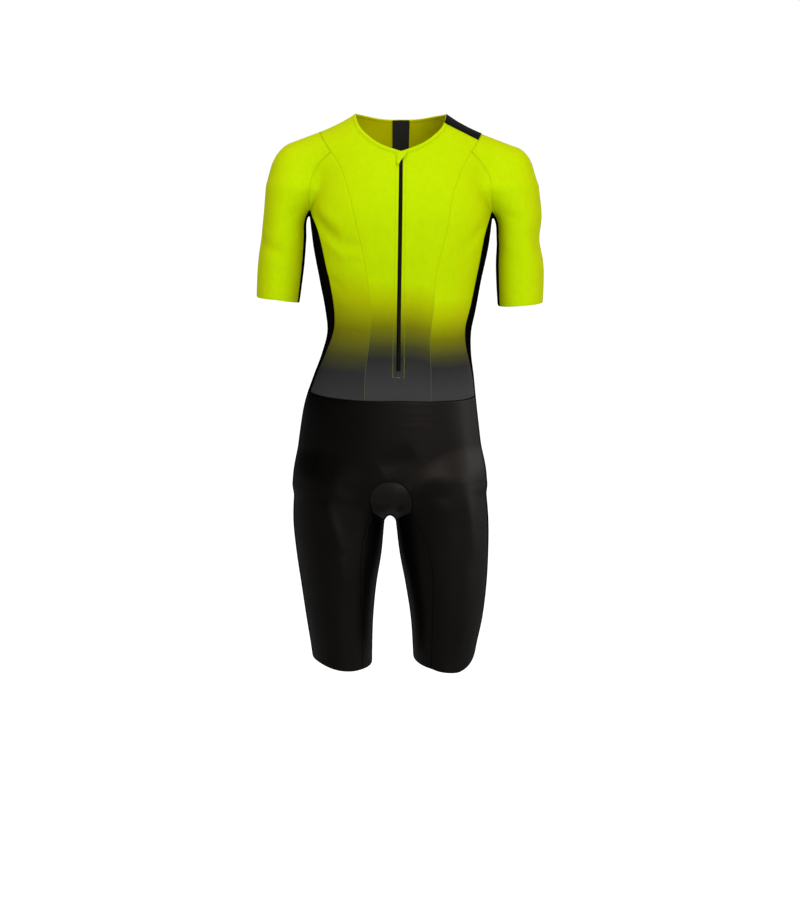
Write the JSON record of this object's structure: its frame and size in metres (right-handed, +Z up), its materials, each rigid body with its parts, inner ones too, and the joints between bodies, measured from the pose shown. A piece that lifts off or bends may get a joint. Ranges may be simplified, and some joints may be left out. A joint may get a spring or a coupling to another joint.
{
  "type": "triathlon suit",
  "caption": "Short-sleeved one-piece triathlon suit standing out as worn, with a front zip under a flap, raglan sleeves and fitted shorts; open neck, cuffs and hems.",
  "frame": {"origin": "midway between the high points of the shoulders beside the neck, where the wearer's shoulders hold the suit", "axes": "+Z up the suit, from the hems to the neck; +Y towards its back, so the zip faces -Y; +X towards the wearer's left"},
  "size_m": [0.5041, 0.2387, 0.979],
  "materials": {
    "yellow_lycra": "fine stretch knit, bright yellow running to dark grey towards the waist",
    "black_lycra": "fine stretch knit with a low sheen",
    "black_mesh": "matte open knit",
    "black_tape": "matte woven tape",
    "black_coil": "satin nylon coil",
    "black_metal": "satin black"
  },
  "bodies": {
    "root": {"front_centre": "yellow_lycra", "front_side_left": "yellow_lycra", "front_side_right": "yellow_lycra", "back": "yellow_lycra", "side_panel_left": "black_mesh", "side_panel_right": "black_mesh", "sleeve_left": "yellow_lycra", "sleeve_right": "yellow_lycra", "under_arm_left": "black_mesh", "under_arm_right": "black_mesh", "shorts_front": "black_lycra", "shorts_back_left": "black_lycra", "shorts_back_right": "black_lycra", "inner_thigh_left": "black_lycra", "inner_thigh_right": "black_lycra", "gusset": "black_lycra", "neck_binding": "yellow_lycra", "neck_tape": "black_tape", "shoulder_band": "black_lycra", "zip_tape_left": "black_tape", "zip_tape_right": "black_tape", "zip_teeth": "black_coil", "zip_slider": "black_metal", "zip_garage": "yellow_lycra"}
  },
  "joints": []
}
